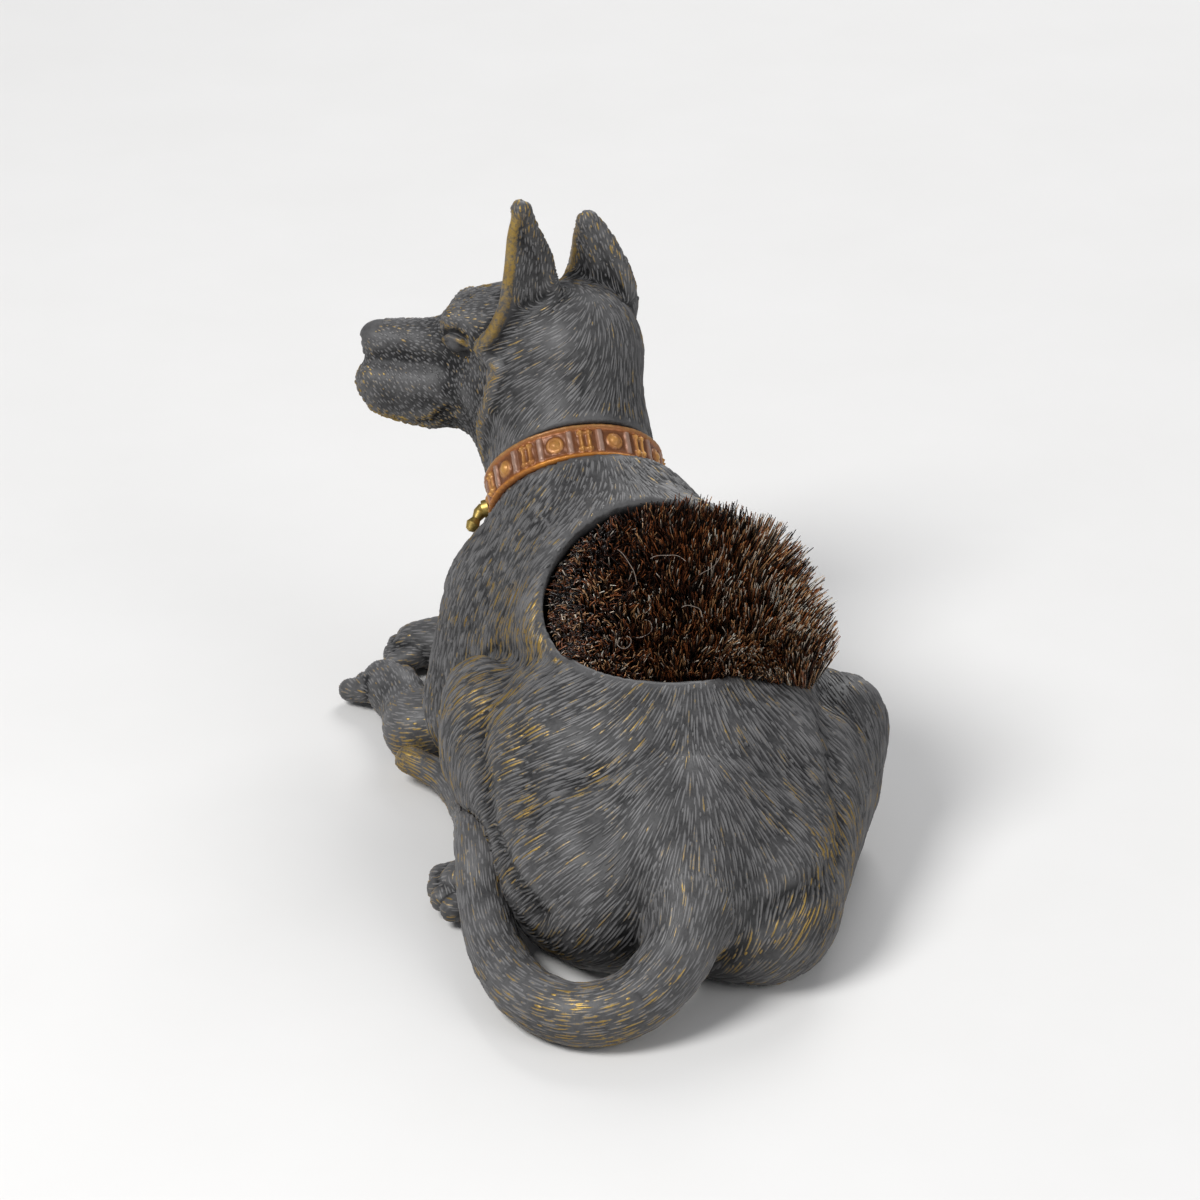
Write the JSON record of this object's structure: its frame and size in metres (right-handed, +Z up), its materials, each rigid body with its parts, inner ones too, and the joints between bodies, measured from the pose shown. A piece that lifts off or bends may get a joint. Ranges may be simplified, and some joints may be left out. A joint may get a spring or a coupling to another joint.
{
  "type": "pen wipe",
  "caption": "Desk pen wipe: lying hound in dark painted bronze, head raised and turned, relief collar, looped tail, with a round lift-out bristle brush set in a well in its back.",
  "frame": {"origin": "middle of the footprint box, on the surface the figure lies on", "axes": "+Y the way the body of the hound points, +X to its right side, +Z up"},
  "size_m": [0.0586, 0.0892, 0.0596],
  "materials": {
    "patina": "worn dark grey paint over bronze, satin",
    "collar_paint": "orange-brown paint with rubbed gilt edges",
    "drop_brass": "dull gilt",
    "brass": "plain",
    "stock_wood": "plain turned",
    "bristle": "dark hog bristle"
  },
  "bodies": {
    "figure": {"body": "patina", "head": "patina", "collar": "collar_paint", "collar_drop": "drop_brass", "left_foreleg": "patina", "right_foreleg": "patina", "left_hind_foot": "patina", "right_hind_foot": "patina", "tail": "patina", "joint_pins": "brass"},
    "brush": {"stock": "stock_wood", "back_board": "stock_wood", "draw_wire": "brass", "board_brads": "brass", "bristles": "bristle"}
  },
  "joints": [
    {"name": "brush_lift", "type": "slide", "parent": "figure", "child": "brush", "axis": [0, -0.4226, 0.9063], "range_m": [0, 0.03]}
  ]
}
